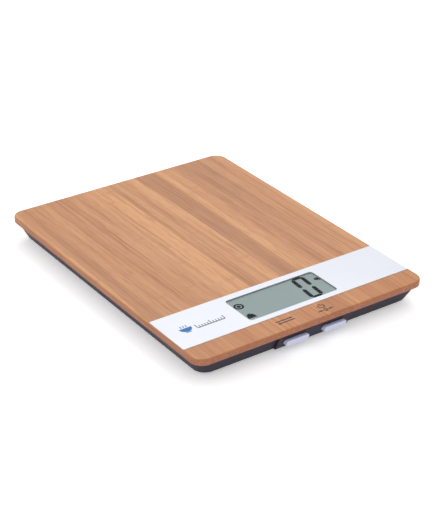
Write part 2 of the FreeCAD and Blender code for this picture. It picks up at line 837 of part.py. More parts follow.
def base_tray():
    whole = fuse("tray_whole", [tray_shell()] + tray_additions())
    keep(cut("tray", whole, tray_cuts()), "base_tray")


def battery_door():
    leaf = rounded_block(
        "door_leaf",
        DOOR_WIDTH,
        DOOR_DEPTH,
        "Dims.door_thickness",
        "Dims.door_corner",
        y="Dims.bay_y",
        z=TRAY_BOTTOM,
    )
    front_end = f"(Dims.bay_y - {DOOR_DEPTH} / 2)"
    back_end = f"(Dims.bay_y + {DOOR_DEPTH} / 2)"
    hooks = []
    for side, sign in SIDES:
        x = f"{sign} * Dims.hook_spacing / 2"
        root_y = f"{front_end} + Dims.door_rim + 2 * Dims.door_gap + Dims.hook_root / 2"
        root = box(
            f"hook_root_{side}", "Dims.hook_width", "Dims.hook_root", "Dims.hook_rise", x, root_y, DOOR_TOP
        )
        reach = "(Dims.hook_reach + Dims.door_rim + 2 * Dims.door_gap + Dims.hook_root)"
        top = box(
            f"hook_top_{side}",
            "Dims.hook_width",
            reach,
            "Dims.hook_plate",
            x,
            f"{front_end} - Dims.hook_reach + {reach} / 2",
            f"{DOOR_TOP} + Dims.hook_rise - Dims.hook_plate",
        )
        hooks += [root, top]
    nib = box(
        "latch_nib",
        "Dims.latch_width - 2 * Dims.latch_slot",
        "2 * Dims.latch_nib",
        "Dims.door_thickness / 3",
        y=back_end,
        z=f"{TRAY_BOTTOM} + Dims.door_thickness / 3",
    )
    slots = [
        box(
            f"latch_slot_{side}",
            "Dims.latch_slot",
            "2 * Dims.latch_length",
            "3 * Dims.door_thickness",
            f"{sign} * Dims.latch_width / 2",
            back_end,
            f"{TRAY_BOTTOM} - Dims.door_thickness",
        )
        for side, sign in SIDES
    ]
    grooves = [
        box(
            f"grip_groove_{number}",
            f"{DOOR_WIDTH} / 2",
            "Dims.rib_width",
            "2 * Dims.grip_groove",
            y=f"Dims.bay_y - {number} * 2 * Dims.rib_width",
            z=f"{TRAY_BOTTOM} - Dims.grip_groove",
        )
        for number in range(4)
    ]
    whole = fuse("door_whole", [leaf, nib] + hooks)
    keep(cut("door", whole, slots + grooves), "battery_door")


def coin_cell():
    can = cylinder("cell_can", "Dims.cell_radius", "Dims.cell_can", "0", "Dims.bay_y", CELL_BOTTOM)
    cap = cylinder(
        "cell_cap", "Dims.cell_cap_radius", "Dims.cell_can + Dims.cell_cap", "0", "Dims.bay_y", CELL_BOTTOM
    )
    cell = round_edges("cell_round", fuse("cell", [can, cap]), "Dims.cell_cap / 2", level_edge(CELL_BOTTOM))
    keep(cell, "coin_cell")


def bent_strip(name, line, thickness, width):
    """Sheet metal that follows a line of (u, v) points, extruded by width along its own Z."""
    points = [FreeCAD.Vector(u, v, 0) for u, v in line]
    sides = [points, []]
    for number, point in enumerate(points):
        before = points[max(number - 1, 0)]
        after = points[min(number + 1, len(points) - 1)]
        along = (after - before).normalize()
        sides[1].append(point + FreeCAD.Vector(-along.y, along.x, 0) * thickness)
    outline = sides[0] + sides[1][::-1] + [sides[0][0]]
    strip = doc.addObject("Part::Feature", name)
    strip.Shape = Part.Face(Part.makePolygon(outline)).extrude(FreeCAD.Vector(0, 0, width))
    return strip


def battery_contacts():
    """Spring strips: one presses the cell's cap from above, one its can from the side."""
    thickness = value_of("Dims.spring_thickness")
    touch = value_of(f"{CELL_TOP} + Dims.spring_gap")
    roof = value_of(f"{BAY_CEILING} - 2 * Dims.spring_gap") - thickness
    wall = value_of("Dims.bay_depth / 2 - Dims.spring_gap")
    middle = value_of("Dims.contact_half")
    line = [(-wall, roof), (-2 * middle, roof), (0, touch), (middle, touch), (2 * middle, touch + thickness)]
    upper = bent_strip("negative_strip", line, thickness, value_of("Dims.spring_width"))
    # Its own X runs along the row's +Y and its own Y runs up.
    turn = FreeCAD.Rotation(FreeCAD.Vector(1, 1, 1), 120)
    upper.Placement = FreeCAD.Placement(FreeCAD.Vector(0, 0, 0), turn)
    place(upper, "-Dims.spring_width / 2", "Dims.bay_y", "0")
    keep(upper, "negative_contact")

    edge = value_of("Dims.bay_width / 2 - Dims.spring_gap")
    near = value_of("Dims.cell_radius + Dims.spring_gap") + thickness
    line = [(edge, -wall / 2), (near, -middle), (near, middle), (edge, wall / 2)]
    side = bent_strip("positive_strip", line, thickness, value_of("Dims.cell_can"))
    side.Placement = FreeCAD.Placement()
    place(side, "0", "Dims.bay_y", CELL_BOTTOM)
    keep(side, "positive_contact")


def load_sensor(name, x, y):
    plate = rounded_block(
        f"{name}_sensor_blank",
        "Dims.sensor_size",
        "Dims.sensor_size",
        "Dims.sensor_thickness",
        "Dims.sensor_corner",
    )
    through = "3 * Dims.sensor_thickness"
    low = "-Dims.sensor_thickness"
    room = box(f"{name}_sensor_room", "Dims.tongue_room", "Dims.tongue_room", through, z=low)
    tongue_y = "(Dims.tongue_room - Dims.tongue_length) / 2"
    tongue = box(f"{name}_tongue", "Dims.tongue_width", "Dims.tongue_length", through, y=tongue_y, z=low)
    tools = [cut(f"{name}_sensor_slot", room, [tongue])]
    tools.append(cylinder(f"{name}_pin_hole", "Dims.pin_radius + Dims.pin_gap", through, z=low))
    for end in (-1, 1):
        hole = "Dims.small_shank + Dims.screw_gap"
        at = f"({end}) * Dims.rim_screw"
        tools.append(cylinder(f"{name}_rim_hole_{end}", hole, through, at, f"-({at})", low))
    keep(place(cut(f"{name}_sensor_plate", plate, tools), x, y, SENSOR_BOTTOM), f"{name}_load_sensor")
    gauge = box(
        f"{name}_gauge_film",
        "Dims.gauge_width",
        "Dims.gauge_depth",
        "Dims.gauge_thickness",
        x,
        f"{y} + Dims.gauge_offset",
        SENSOR_TOP,
    )
    keep(gauge, f"{name}_strain_gauge")


def foot(name, x, y):
    neck_top = f"{FLOOR_TOP} + Dims.neck_above_floor"
    rings = [
        ("plate", "Dims.foot_radius", "Dims.foot_plate"),
        ("neck", "Dims.neck_radius", f"{neck_top} - Dims.pad_thickness"),
        ("stub", "Dims.stub_radius", f"{SENSOR_BOTTOM} - Dims.pad_thickness"),
        ("pin", "Dims.pin_radius", f"{SENSOR_TOP} + Dims.rivet_height - Dims.pad_thickness"),
    ]
    pieces = [cylinder(f"{name}_foot_{ring}", radius, height) for ring, radius, height in rings]
    rivet_z = f"{SENSOR_TOP} - Dims.pad_thickness"
    pieces.append(cylinder(f"{name}_foot_rivet", "Dims.rivet_radius", "Dims.rivet_height", z=rivet_z))
    keep(place(fuse(f"{name}_foot_stack", pieces), x, y, "Dims.pad_thickness"), f"{name}_foot")
    disc = cylinder(f"{name}_pad_disc", "Dims.pad_radius", "Dims.pad_thickness")
    pad = round_edges(f"{name}_pad_round", disc, "Dims.pad_round", level_edge("0"))
    keep(place(pad, x, y, "0"), f"{name}_foot_pad")


def driver_cross(name, head_radius, depth, x, y, z):
    """The cross-shaped recess in a screw's head, as two crossed blocks."""
    reach = f"Dims.cross_reach * {head_radius}"
    thin = f"Dims.cross_width * {head_radius}"
    return [
        box(f"{name}_cross_x", reach, thin, depth, x, y, z),
        box(f"{name}_cross_y", thin, reach, depth, x, y, z),
    ]


def screw_up(name, x, y, seat):
    """A screw driven upwards: a head below its seat and a shank above it."""
    low = f"{seat} - Dims.screw_head_height"
    head = cylinder(f"{name}_head", "Dims.screw_head", "Dims.screw_head_height", x, y, low)
    length = f"{TRAY_TOP} + Dims.screw_bite - ({seat})"
    shank = cylinder(f"{name}_shank", "Dims.screw_shank", length, x, y, seat)
    cross = driver_cross(name, "Dims.screw_head", "Dims.screw_head_height / 2", x, y, low)
    return cut(name, fuse(f"{name}_stack", [head, shank]), cross)


def screw_down(name, x, y, seat, length):
    """A small screw driven downwards: a head on its seat and a shank of the given length below."""
    head = cylinder(f"{name}_head", "Dims.small_head", "Dims.small_head_height", x, y, seat)
    shank = cylinder(f"{name}_shank", "Dims.small_shank", length, x, y, f"{seat} - ({length})")
    high = f"{seat} + Dims.small_head_height / 2"
    cross = driver_cross(name, "Dims.small_head", "Dims.small_head_height", x, y, high)
    return cut(name, fuse(f"{name}_stack", [head, shank]), cross)


def screw_group(label, screws):
    group = doc.addObject("Part::Compound", label + "_group")
    group.Links = screws
    keep(group, label)


def screws():
    seat = f"({TRAY_BOTTOM} + Dims.screw_sink)"
    screw_group(
        "platform_screws",
        [screw_up(f"platform_screw_{n}", x, y, seat) for n, (x, y) in enumerate(PLATFORM_SCREWS, start=1)],
    )
    seat = f"({BOARD_TOP} + Dims.ear_thickness)"
    length = f"{seat} - {BOARD_BOTTOM} + Dims.small_bite"
    screw_group(
        "board_screws",
        [screw_down(f"board_screw_{name}", x, y, seat, length) for name, x, y in BOARD_SCREWS],
    )
    rim = []
    for name, right, back in CORNERS:
        for end in (-1, 1):
            x = f"({right}) * {FOOT_X} + ({end}) * Dims.rim_screw"
            y = f"({back}) * {FOOT_Y} - ({end}) * Dims.rim_screw"
            rim.append(screw_down(f"{name}_rim_screw_{end}", x, y, SENSOR_TOP, "Dims.small_bite"))
    screw_group("sensor_screws", rim)


def lead(name, points):
    """A lead at one height: straight runs joined by tangent arcs of the lead's bend radius."""
    height = value_of(LEAD_Z)
    radius = value_of("Dims.lead_radius")
    bend = value_of("Dims.lead_bend")
    corners = [FreeCAD.Vector(value_of(x), value_of(y), height) for x, y in points]
    edges = []
    start = corners[0]
    for before, corner, after in zip(corners, corners[1:], corners[2:]):
        arrive = (corner - before).normalize()
        leave = (after - corner).normalize()
        half_turn = arrive.getAngle(leave) / 2
        setback = bend * math.tan(half_turn)
        first = corner - arrive * setback
        last = corner + leave * setback
        mid_chord = (first + last) * 0.5
        sag = (last - first).Length / 2 * math.tan(half_turn / 2)
        top_of_arc = mid_chord + (corner - mid_chord).normalize() * sag
        edges.append(Part.LineSegment(start, first).toShape())
        edges.append(Part.Arc(first, top_of_arc, last).toShape())
        start = last
    edges.append(Part.LineSegment(start, corners[-1]).toShape())
    path = Part.Wire(edges)
    along = (corners[1] - corners[0]).normalize()
    ring = Part.Wire(Part.Circle(corners[0], along, radius).toShape())
    tube = doc.addObject("Part::Feature", name + "_tube")
    tube.Shape = path.makePipeShell([ring], True, True)
    tube.Placement = FreeCAD.Placement()
    keep(tube, name)


def leads():
    lane = f"({FOOT_X} - Dims.lead_lane)"
    rear_start = f"({FOOT_Y} + Dims.gauge_offset)"
    front_start = f"(-{FOOT_Y} + Dims.gauge_offset)"
    for side, sign in SIDES:
        rear = [
            (f"{sign} * {FOOT_X}", rear_start),
            (f"{sign} * {lane}", rear_start),
            (f"{sign} * {lane}", f"{BOARD_BACK} + 4 * Dims.lead_bend"),
            (f"{sign} * (Dims.board_width / 2 - Dims.rear_landing)", f"{BOARD_BACK} - Dims.lead_bend / 2"),
        ]
        lead(f"rear_{side}_sensor_lead", rear)
        front = [
            (f"{sign} * {FOOT_X}", front_start),
            (f"{sign} * ({lane} + 2 * Dims.lead_bend)", front_start),
            (f"{sign} * (Dims.board_width / 2 - Dims.front_landing)", f"{front_start} + 2 * Dims.lead_bend"),
        ]
        lead(f"front_{side}_sensor_lead", front)
        bay_front = "(Dims.bay_y - Dims.bay_depth / 2 - Dims.bay_wall)"
        battery = [
            (f"{sign} * Dims.bay_width / 4", bay_front),
            (f"{sign} * Dims.bay_width / 4", f"{bay_front} - 3 * Dims.lead_bend"),
            (f"{sign} * Dims.bay_width / 2", f"{BOARD_BACK} + 2 * Dims.lead_bend"),
            (f"{sign} * Dims.bay_width / 2", f"{BOARD_BACK} - Dims.lead_bend / 2"),
        ]
        lead(f"{side}_battery_lead", battery)


def export(folder):
    """Check every object, then write one STEP file per sub-part."""
    failed = [o.Name for o in doc.Objects if "Invalid" in o.State or "Error" in o.State]
    if failed:
        raise RuntimeError("failed objects: " + ", ".join(failed))
    for node in nodes:
        shape = node.Shape
        if shape.isNull() or not shape.isValid() or not shape.Solids:
            raise RuntimeError("bad shape: " + node.Label)
    os.makedirs(folder, exist_ok=True)
    for node in nodes:
        node.Shape.exportStep(folder + "/" + node.Label + ".step")
        print("%-28s %2d solid %12.2f mm3" % (node.Label, len(node.Shape.Solids), node.Shape.Volume))


weighing_platform()
display_panel()
lcd_module()
circuit_board()
for side_name, side_sign in SIDES:
    switch_and_button(side_name, side_sign)
base_tray()
battery_door()
coin_cell()
battery_contacts()
for corner_name, to_right, to_back in CORNERS:
    corner_x = f"({to_right}) * {FOOT_X}"
    corner_y = f"({to_back}) * {FOOT_Y}"
    load_sensor(corner_name, corner_x, corner_y)
    foot(corner_name, corner_x, corner_y)
screws()
leads()
doc.recompute()
export("parts")
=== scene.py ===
# %% [markdown]
# # A bamboo kitchen scale
# The scale is a thin bamboo platform over a dark tapered tray. A white lacquered strip is let into
# the platform near its front edge, with a liquid crystal display under a clear pane in it, and two
# silver buttons come out of the tray's front wall. The solid parts arrive from the design model,
# already in place. This file gives every part its finish, and adds what a machinist's drawing leaves
# out: the display's segments, the printing, the pane's softened edge and the studio round it all.

# %% Load the frame
import math

import bmesh
import bpy
from mathutils import Matrix, Vector


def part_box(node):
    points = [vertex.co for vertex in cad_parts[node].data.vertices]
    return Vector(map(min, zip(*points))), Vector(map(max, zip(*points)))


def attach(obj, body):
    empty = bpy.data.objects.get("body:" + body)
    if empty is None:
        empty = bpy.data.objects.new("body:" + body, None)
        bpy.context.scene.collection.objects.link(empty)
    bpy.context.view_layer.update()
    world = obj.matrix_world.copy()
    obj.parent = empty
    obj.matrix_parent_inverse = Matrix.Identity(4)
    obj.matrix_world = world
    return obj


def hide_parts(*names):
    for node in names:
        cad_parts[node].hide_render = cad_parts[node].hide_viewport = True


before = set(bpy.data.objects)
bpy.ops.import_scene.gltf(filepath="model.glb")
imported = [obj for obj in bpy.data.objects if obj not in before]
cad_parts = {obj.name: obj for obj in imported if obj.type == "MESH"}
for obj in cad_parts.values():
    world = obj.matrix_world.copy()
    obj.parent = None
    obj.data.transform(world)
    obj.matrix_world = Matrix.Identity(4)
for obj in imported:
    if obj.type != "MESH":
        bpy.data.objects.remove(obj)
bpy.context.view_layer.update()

# %% [markdown]
# Everything below is measured from the parts themselves. Blender works in metres and the design in
# millimetres, so one constant turns one into the other, and a small helper reads a part's box.

# %% Sizes read from the parts
MM = 0.001
plate_low, plate_high = (Vector(corner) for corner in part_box("weighing_platform"))
panel_low, panel_high = (Vector(corner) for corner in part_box("display_panel"))
pane_low, pane_high = (Vector(corner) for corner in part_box("display_pane"))
lcd_high = Vector(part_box("lcd_glass")[1])
window_middle = (pane_low + pane_high) / 2
button_middles = {}
for side in ("left", "right"):
    low, high = (Vector(corner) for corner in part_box(side + "_button"))
    button_middles[side] = (low + high) / 2
print("platform top at %.2f mm, display at %.2f mm" % (plate_high.z / MM, lcd_high.z / MM))

# %% [markdown]
# ## The camera
# Something this flat is best seen through a long lens from about a metre away, so the far edge looks
# almost as wide as the near one. The camera is described by how far round it stands, how high, how far
# away and what it points at. Its own axes are then built from those angles, which keeps the horizon
# exactly where it is wanted.

# %% Camera
CAMERA_AZIMUTH = math.radians(-34.97)
CAMERA_ELEVATION = math.radians(28.83)
CAMERA_ROLL = math.radians(0.32)
CAMERA_DISTANCE = 0.9835
CAMERA_AIM = Vector((-8.0, -20.5, 17.2)) * MM
LENS_LENGTH = 104.7


def camera_axes(azimuth, elevation, roll):
    """Right, up and backward directions of a camera that looks at the object."""
    level = math.cos(elevation)
    back = Vector((math.sin(azimuth) * level, -math.cos(azimuth) * level, math.sin(elevation)))
    right = Vector((math.cos(azimuth), math.sin(azimuth), 0))
    up = back.cross(right)
    tilted_right = math.cos(roll) * right + math.sin(roll) * up
    return tilted_right, back.cross(tilted_right), back


lens = bpy.data.cameras.new("studio_camera")
lens.lens = LENS_LENGTH
lens.sensor_width = 36
camera = bpy.data.objects.new("studio_camera", lens)
bpy.context.collection.objects.link(camera)
right, up, back = camera_axes(CAMERA_AZIMUTH, CAMERA_ELEVATION, CAMERA_ROLL)
place = CAMERA_AIM + CAMERA_DISTANCE * back
camera.matrix_world = Matrix((right, up, back)).transposed().to_4x4()
camera.matrix_world.translation = place
bpy.context.scene.camera = camera
print("camera stands at", [round(v, 3) for v in place])

# %% [markdown]
# ## The studio
# The scale lies on a light table: white paper that glows a little from below, so the shadow under
# the scale stays faint. The white room gives most of the light, and a large lamp behind and to the
# right gives the rest, as a window behind a worktop does. It makes the top face brighter than the
# front faces. A second, weaker lamp on the left keeps the dark tray readable.

# %% Floor, world and lamps
ROOM_LIGHT = 0.88
FLOOR_HALF = 4.0
TABLE_GLOW = 0.34
LAMP_WIDTH = 1.0
REAR_LAMP_PLACE = (0.9, 1.3, 1.5)
REAR_LAMP_WATTS = 15
LEFT_LAMP_PLACE = (-1.4, -0.5, 0.9)
LEFT_LAMP_WATTS = 2


def studio_floor():
    bm = bmesh.new()
    bmesh.ops.create_grid(bm, x_segments=1, y_segments=1, size=FLOOR_HALF)
    mesh = bpy.data.meshes.new("studio_floor")
    bm.to_mesh(mesh)
    bm.free()
    floor = bpy.data.objects.new("studio_floor", mesh)
    bpy.context.collection.objects.link(floor)
    paint = bpy.data.materials.new("floor_paper")
    paint.use_nodes = True
    paper = paint.node_tree.nodes["Principled BSDF"]
    paper.inputs["Base Color"].default_value = (0.93, 0.93, 0.935, 1)
    paper.inputs["Roughness"].default_value = 0.9
    paper.inputs["Specular IOR Level"].default_value = 0.1
    paper.inputs["Emission Color"].default_value = (1, 1, 1, 1)
    paper.inputs["Emission Strength"].default_value = TABLE_GLOW
    mesh.materials.append(paint)


def soft_lamp(name, place, watts):
    """A square lamp that points at the middle of the table."""
    lamp = bpy.data.lights.new(name, "AREA")
    lamp.size = LAMP_WIDTH
    lamp.energy = watts
    stand = bpy.data.objects.new(name, lamp)
    bpy.context.collection.objects.link(stand)
    stand.location = place
    stand.rotation_euler = Vector(place).to_track_quat("Z", "Y").to_euler()


room = bpy.data.worlds.new("white_room")
room.use_nodes = True
room.node_tree.nodes["Background"].inputs["Color"].default_value = (1, 1, 1, 1)
room.node_tree.nodes["Background"].inputs["Strength"].default_value = ROOM_LIGHT
bpy.context.scene.world = room
bpy.context.scene.view_settings.view_transform = "Standard"
studio_floor()
soft_lamp("rear_window_lamp", REAR_LAMP_PLACE, REAR_LAMP_WATTS)
soft_lamp("left_fill_lamp", LEFT_LAMP_PLACE, LEFT_LAMP_WATTS)
print("studio ready")

# %% [markdown]
# ## Helpers for materials
# A material is a small graph. Writing each node on its own line with its inputs beside it keeps the
# graph readable: `node` makes one, sets its options, and fills each input with a number, a colour or
# another node's output.

# %% Material helpers


def node(tree, kind, inputs=(), **options):
    """Add a shader node. inputs is a dict of socket name or index to a value or an output."""
    made = tree.nodes.new(kind)
    for key, option in options.items():
        setattr(made, key, option)
    for key, value in dict(inputs).items():
        if isinstance(value, bpy.types.NodeSocket):
            tree.links.new(value, made.inputs[key])
        else:
            made.inputs[key].default_value = value
    return made


def maths(tree, operation, first, second=0.0):
    return node(tree, "ShaderNodeMath", {0: first, 1: second}, operation=operation).outputs[0]


def blend(tree, share, first, second):
    """Mix two colours by a share from 0 to 1."""
    mixer = node(tree, "ShaderNodeMix", data_type="RGBA")
    for key, value in ((0, share), (6, first), (7, second)):
        if isinstance(value, bpy.types.NodeSocket):
            tree.links.new(value, mixer.inputs[key])
        else:
            mixer.inputs[key].default_value = value
    return mixer.outputs[2]


def remap(tree, value, low, high, to_low=0.0, to_high=1.0):
    """Stretch the stretch from low to high over a new range, clamped."""
    inputs = {"Value": value, "From Min": low, "From Max": high, "To Min": to_low, "To Max": to_high}
    return node(tree, "ShaderNodeMapRange", inputs, clamp=True).outputs["Result"]


def noise(tree, where, scale, detail=3.0, roughness=0.5):
    inputs = {"Vector": where, "Scale": scale, "Detail": detail, "Roughness": roughness}
    return node(tree, "ShaderNodeTexNoise", inputs).outputs["Fac"]


def stretched(tree, where, x, y, z):
    """Object coordinates squeezed or stretched along each axis."""
    return node(tree, "ShaderNodeMapping", {"Vector": where, "Scale": (x, y, z)}).outputs["Vector"]


def bump(tree, shader, height, strength, distance):
    inputs = {"Height": height, "Strength": strength, "Distance": distance}
    tree.links.new(node(tree, "ShaderNodeBump", inputs).outputs["Normal"], shader.inputs["Normal"])


def new_material(name, **constants):
    """A material whose shader's own sockets hold the numbers given, such as Roughness."""
    material = bpy.data.materials.new(name)
    material.use_nodes = True
    tree = material.node_tree
    shader = tree.nodes["Principled BSDF"]
    for key, value in constants.items():
        shader.inputs[key.replace("_", " ")].default_value = value
    where = node(tree, "ShaderNodeTexCoord").outputs["Object"]
    return material, tree, shader, where


def finish_with(material, *names):
    """Give design parts a finish."""
    for name in names:
        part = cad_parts[name]
        part.data.materials.clear()
        part.data.materials.append(material)
        print("finished", name, "with", material.name)


# %% [markdown]
# ## Bamboo
# A bamboo board is glued up from strips cut out of the stem's wall. Each strip has its own tone, its
# fibres run along it, and every 15 to 25 cm it has a node, where a branch left: a thin darker arc
# with slightly swirled fibres round it. The strips here run from front to back. A one-dimensional
# Voronoi pattern makes strips of uneven width, and its cell colour gives each strip its own tone and
# its own place for the nodes. Noise stretched a hundredfold along the strip makes the fibres.

# %% Bamboo material
STRIP_PITCH = 7.5 * MM
NODE_PITCH = 150 * MM
CANE_LIGHT = (0.600, 0.284, 0.105, 1)
CANE_MIDDLE = (0.480, 0.203, 0.072, 1)
CANE_DARK = (0.285, 0.098, 0.034, 1)
CANE_RED = (0.42, 0.125, 0.018, 1)
# The two end tones are the edge grain's own colour with painted shade in them as well.
END_GRAIN_SHADED_PALE = (0.37, 0.145, 0.084, 1)
END_GRAIN_SHADED_DARK = (0.20, 0.066, 0.042, 1)


def bamboo():
    material, tree, shader, where = new_material("bamboo_board", Specular_IOR_Level=0.3)
    apart = node(tree, "ShaderNodeSeparateXYZ", {0: where})
    x, y = (apart.outputs[axis] for axis in "XY")
    waver = noise(tree, stretched(tree, where, 6, 9, 6), 1.0, 2.0)
    wander = maths(tree, "MULTIPLY", maths(tree, "SUBTRACT", waver, 0.5), 1.2 * MM)
    strip_place = maths(tree, "ADD", x, wander)
    strips = node(
        tree,
        "ShaderNodeTexVoronoi",
        {"W": strip_place, "Scale": 1 / STRIP_PITCH, "Randomness": 0.75},
        voronoi_dimensions="1D",
    )
    seeds = node(tree, "ShaderNodeSeparateColor", {0: strips.outputs["Color"]})
    tone, shift, warmth = (seeds.outputs[n] for n in range(3))
    seam = node(
        tree,
        "ShaderNodeTexVoronoi",
        {"W": strip_place, "Scale": 1 / STRIP_PITCH, "Randomness": 0.75},
        voronoi_dimensions="1D",
        feature="DISTANCE_TO_EDGE",
    ).outputs["Distance"]

    # Fibres: long thin noise, moved along by a different amount in each strip.
    slide = node(tree, "ShaderNodeCombineXYZ", {"X": shift, "Y": maths(tree, "MULTIPLY", shift, 3.7)})
    moved = node(tree, "ShaderNodeVectorMath", {0: where, 1: slide.outputs[0]}, operation="ADD").outputs[0]
    coarse = noise(tree, stretched(tree, moved, 330, 9, 330), 1.0, 5.0, 0.66)
    fine = noise(tree, stretched(tree, moved, 1050, 60, 1050), 1.0, 3.0, 0.6)
    patches = noise(tree, stretched(tree, where, 55, 10, 55), 1.0, 3.0, 0.6)
    bands = noise(tree, stretched(tree, where, 34, 2.2, 34), 1.0, 2.0, 0.5)

    base = blend(tree, remap(tree, tone, 0.05, 0.75), CANE_LIGHT, CANE_MIDDLE)
    base = blend(tree, remap(tree, warmth, 0.80, 0.97, 0.0, 0.40), base, CANE_DARK)
    base = blend(tree, remap(tree, patches, 0.48, 0.72, 0.0, 0.60), base, CANE_MIDDLE)
    base = blend(tree, remap(tree, bands, 0.56, 0.74, 0.0, 0.36), base, CANE_DARK)
    base = blend(tree, remap(tree, coarse, 0.50, 0.70, 0.0, 0.72), base, CANE_DARK)
    base = blend(tree, remap(tree, coarse, 0.30, 0.46, 0.35, 0.0), base, CANE_LIGHT)
    base = blend(tree, remap(tree, fine, 0.50, 0.70, 0.0, 0.50), base, CANE_DARK)

    # Nodes: an arc across each strip, at a place of its own.
    along = maths(tree, "ADD", maths(tree, "DIVIDE", y, NODE_PITCH), maths(tree, "MULTIPLY", shift, 9.1))
    arch = maths(tree, "MULTIPLY", seam, 0.02)
    turn = maths(tree, "FRACT", maths(tree, "ADD", along, arch))
    ridge = maths(tree, "ABSOLUTE", maths(tree, "SUBTRACT", turn, 0.5))
    rough_edge = maths(tree, "MULTIPLY", maths(tree, "SUBTRACT", coarse, 0.5), 0.012)
    ridge = maths(tree, "ADD", ridge, rough_edge)
    node_line = remap(tree, ridge, 0.002, 0.012, 1.0, 0.0)
    halo = remap(tree, ridge, 0.0, 0.06, 0.35, 0.0)
    base = blend(tree, maths(tree, "MULTIPLY", node_line, 0.22), base, CANE_DARK)
    base = blend(tree, halo, base, CANE_MIDDLE)

    # The glue line between two strips.
    glue = remap(tree, seam, 0.0, 0.035, 0.38, 0.0)
    base = blend(tree, glue, base, CANE_DARK)

    # The strip in front of the display is a board of its own, cut from redder cane.
    front_board = remap(tree, y, panel_low.y - 0.2 * MM, panel_low.y, 0.35, 0.0)
    base = blend(tree, front_board, base, CANE_RED)

    # Edges show the cut ends of the fibres at the front and back, and oiled long grain at the sides. Their
    # tone is darker partly for that grain and partly as painted shade, so every upright face reads darker
    # than the top, as if it got less light.
    facing = node(tree, "ShaderNodeSeparateXYZ", {0: node(tree, "ShaderNodeTexCoord").outputs["Normal"]})
    upright = maths(tree, "ABSOLUTE", facing.outputs["Z"])
    end_grain = noise(tree, stretched(tree, where, 1300, 40, 1300), 1.0, 3.0, 0.6)
    end_grain_and_shade_tone = blend(tree, remap(tree, end_grain, 0.4, 0.7), END_GRAIN_SHADED_PALE, END_GRAIN_SHADED_DARK)
    # Painted shade: upright faces are blended towards the darker end tones.
    base = blend(tree, remap(tree, upright, 0.25, 0.75, 0.85, 0.0), base, end_grain_and_shade_tone)
    tree.links.new(base, shader.inputs["Base Color"])
    polish = remap(tree, coarse, 0.3, 0.8, 0.40, 0.55)
    tree.links.new(polish, shader.inputs["Roughness"])
    height = maths(tree, "ADD", maths(tree, "MULTIPLY", fine, 0.6), remap(tree, seam, 0.0, 0.03, -0.5, 0.0))
    bump(tree, shader, height, 0.25, 0.05 * MM)
    return material


finish_with(bamboo(), "weighing_platform")

# %% [markdown]
# ## Lacquered strip and moulded plastics
# The display strip is sprayed sheet metal: nearly flat, with the faint ripple that sprayed lacquer
# keeps. The tray and the battery door are injection moulded with a fine spark-eroded texture, so they
# are dark and matt with a slight sparkle. The buttons come from a polished mould.

# %% Lacquer and plastics


def lacquer():
    material, tree, shader, where = new_material(
        "white_lacquer", Roughness=0.34, Specular_IOR_Level=0.45, Coat_Weight=0.15, Coat_Roughness=0.12
    )
    ripple = noise(tree, where, 900, 2.0)
    dust = noise(tree, where, 60, 3.0)
    tone = blend(tree, remap(tree, dust, 0.3, 0.7), (0.605, 0.628, 0.695, 1), (0.622, 0.644, 0.710, 1))
    tree.links.new(tone, shader.inputs["Base Color"])
    bump(tree, shader, ripple, 0.06, 0.02 * MM)
    return material


def moulded(name, dark, light, rough, grain=2600, depth=0.03, shine=0.4):
    """Moulded plastic: two close tones, a fine grain and a slow change of gloss."""
    material, tree, shader, where = new_material(name, Specular_IOR_Level=shine)
    speck = noise(tree, where, grain, 3.0, 0.65)
    cloud = noise(tree, where, 45, 3.0)
    share = maths(tree, "ADD", maths(tree, "MULTIPLY", speck, 0.6), maths(tree, "MULTIPLY", cloud, 0.4))
    tree.links.new(blend(tree, remap(tree, share, 0.35, 0.65), dark, light), shader.inputs["Base Color"])
    tree.links.new(remap(tree, cloud, 0.3, 0.7, rough - 0.05, rough + 0.05), shader.inputs["Roughness"])
    bump(tree, shader, speck, 0.3, depth * MM)
    return material


tray_plastic = moulded("tray_plastic", (0.021, 0.016, 0.027, 1), (0.033, 0.025, 0.041, 1), 0.5, shine=0.12)
button_plastic = moulded("button_plastic", (0.50, 0.51, 0.68, 1), (0.54, 0.55, 0.71, 1), 0.30, 1400, 0.006)
foot_plastic = moulded("foot_plastic", (0.05, 0.045, 0.06, 1), (0.07, 0.06, 0.08, 1), 0.5)
pad_rubber = moulded("pad_rubber", (0.030, 0.030, 0.033, 1), (0.045, 0.045, 0.05, 1), 0.85, 1600, 0.05)
finish_with(lacquer(), "display_panel")
finish_with(tray_plastic, "base_tray", "battery_door")
finish_with(button_plastic, "left_button", "right_button")
CORNERS = [end + "_" + side for end in ("front", "rear") for side in ("left", "right")]
finish_with(foot_plastic, *[corner + "_foot" for corner in CORNERS])
finish_with(pad_rubber, *[corner + "_foot_pad" for corner in CORNERS])

# %% [markdown]
# ## What is inside
# The inside only shows when someone takes the scale apart, but each part still gets its real finish:
# green solder mask, nickel-plated springs and steel, cast resin, coloured lead covers.

# %% Metals, board and small parts


def metal(name, tone, rough, brush):
    """Metal with fine lines along X, from rolling or plating."""
    material, tree, shader, where = new_material(name, Metallic=1.0)
    lines = noise(tree, stretched(tree, where, 60, brush, brush), 1.0, 4.0, 0.6)
    worn = tuple(0.8 * channel for channel in tone[:3]) + (1,)
    tree.links.new(blend(tree, remap(tree, lines, 0.3, 0.7), worn, tone), shader.inputs["Base Color"])
    tree.links.new(remap(tree, lines, 0.3, 0.7, rough - 0.08, rough + 0.08), shader.inputs["Roughness"])
    bump(tree, shader, lines, 0.15, 0.01 * MM)
    return material


